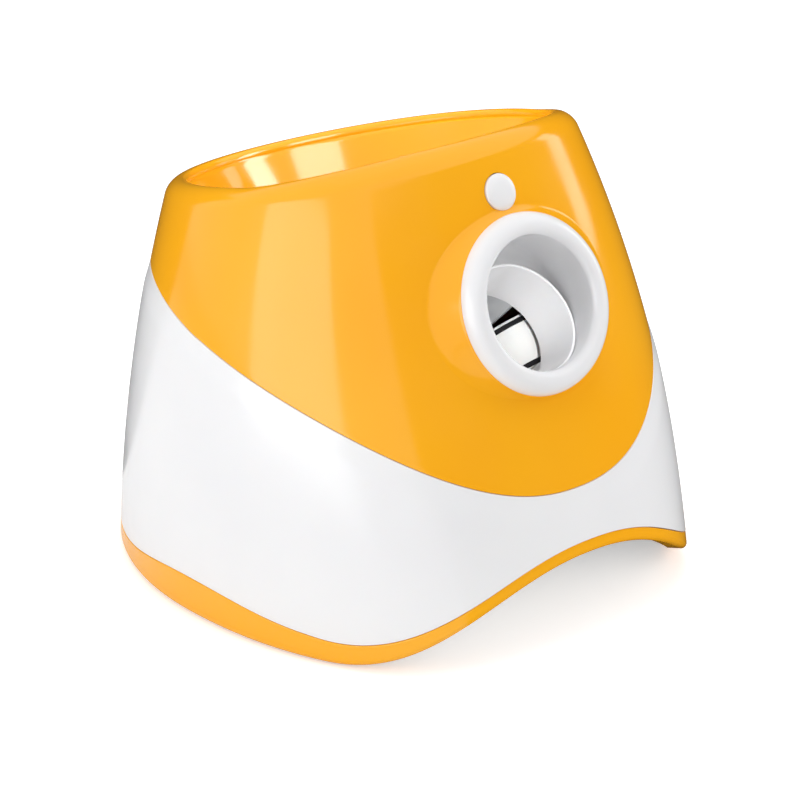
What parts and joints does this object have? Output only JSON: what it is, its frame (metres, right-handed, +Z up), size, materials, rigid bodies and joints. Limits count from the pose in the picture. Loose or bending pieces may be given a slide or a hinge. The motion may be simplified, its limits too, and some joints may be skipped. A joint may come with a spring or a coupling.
{
  "type": "automatic dog ball launcher",
  "caption": "Floor-standing launcher for small dog balls: a tilted hopper bowl feeds a plunger and powered wheels, which throw the ball out of a round port.",
  "frame": {"origin": "on the floor, under the middle of the case", "axes": "+Z up; the launch port faces -Y; the case mirrors about X = 0"},
  "size_m": [0.2754, 0.3031, 0.2373],
  "materials": {
    "yellow_abs": "glossy moulded ABS, warm yellow-orange",
    "white_abs": "glossy moulded ABS, white",
    "base_plastic": "fine-textured moulded plastic, off white",
    "inner_plastic": "satin moulded plastic, light grey",
    "frame_plastic": "satin glass-filled plastic, dark grey",
    "wheel_plastic": "glossy moulded plastic, white",
    "band_rubber": "black rubber",
    "foot_rubber": "dark grey rubber",
    "seal_rubber": "soft dark rubber",
    "plated_steel": "zinc-plated steel",
    "motor_can": "drawn and plated can",
    "cell_jacket": "plain printed metal jacket",
    "board_green": "solder-masked board",
    "black_plastic": "black moulded plastic"
  },
  "bodies": {
    "housing": {"upper_shell": "yellow_abs", "hopper_bowl": "yellow_abs", "lower_shell": "white_abs", "base_trim": "yellow_abs", "base_plate": "base_plastic", "foot_pads": "foot_rubber", "battery_tray": "black_plastic", "battery_cells": "cell_jacket", "battery_springs": "plated_steel", "battery_contacts": "plated_steel", "port_bezel": "white_abs", "muzzle_tube": "white_abs", "launch_tube": "inner_plastic", "throat_seal": "seal_rubber", "drive_frame": "frame_plastic", "left_motor": "motor_can", "right_motor": "motor_can", "motor_screws": "plated_steel", "feed_guide": "frame_plastic", "feed_gearmotor": "motor_can", "ball_sensors": "black_plastic", "button_board": "board_green", "button_switch": "black_plastic", "button_screws": "plated_steel", "control_board": "board_green", "board_parts": "black_plastic", "board_screws": "plated_steel", "buzzer": "black_plastic", "power_inlet": "black_plastic", "inlet_nut": "plated_steel", "case_screws": "plated_steel", "frame_screws": "plated_steel"},
    "left_wheel_body": {"left_wheel": "wheel_plastic", "left_wheel_bands": "band_rubber", "left_motor_shaft": "plated_steel"},
    "right_wheel_body": {"right_wheel": "wheel_plastic", "right_wheel_bands": "band_rubber", "right_motor_shaft": "plated_steel"},
    "plunger_body": {"feed_plunger": "wheel_plastic", "plunger_pad": "seal_rubber"},
    "pinion_body": {"feed_pinion": "wheel_plastic", "pinion_shaft": "plated_steel"},
    "button_body": {"front_button": "white_abs"},
    "door_body": {"battery_door": "base_plastic"}
  },
  "joints": [
    {"name": "left_wheel_spin", "type": "hinge", "parent": "housing", "child": "left_wheel_body", "pos_m": [-0.046, -0.05241, 0.11087], "axis": [0, 0.682, 0.7314], "continuous": true},
    {"name": "right_wheel_spin", "type": "hinge", "parent": "housing", "child": "right_wheel_body", "pos_m": [0.046, -0.05241, 0.11087], "axis": [0, 0.682, 0.7314], "continuous": true},
    {"name": "plunger_slide", "type": "slide", "parent": "housing", "child": "plunger_body", "axis": [0, -0.7314, 0.682], "range_m": [0, 0.022]},
    {"name": "pinion_turn", "type": "hinge", "parent": "housing", "child": "pinion_body", "pos_m": [0, 0.01582, 0.06365], "axis": [1, 0, 0], "range_deg": [-160, 0]},
    {"name": "button_press", "type": "slide", "parent": "housing", "child": "button_body", "axis": [0, 0.9084, -0.4181], "range_m": [0, 0.0013], "stiffness_N_per_m": 600},
    {"name": "battery_door_slide", "type": "slide", "parent": "housing", "child": "door_body", "axis": [0, 1, 0], "range_m": [0, 0.009]}
  ],
  "couplings": [
    {"joint": "pinion_turn", "follows": "plunger_slide", "rad_per_m": -125}
  ]
}
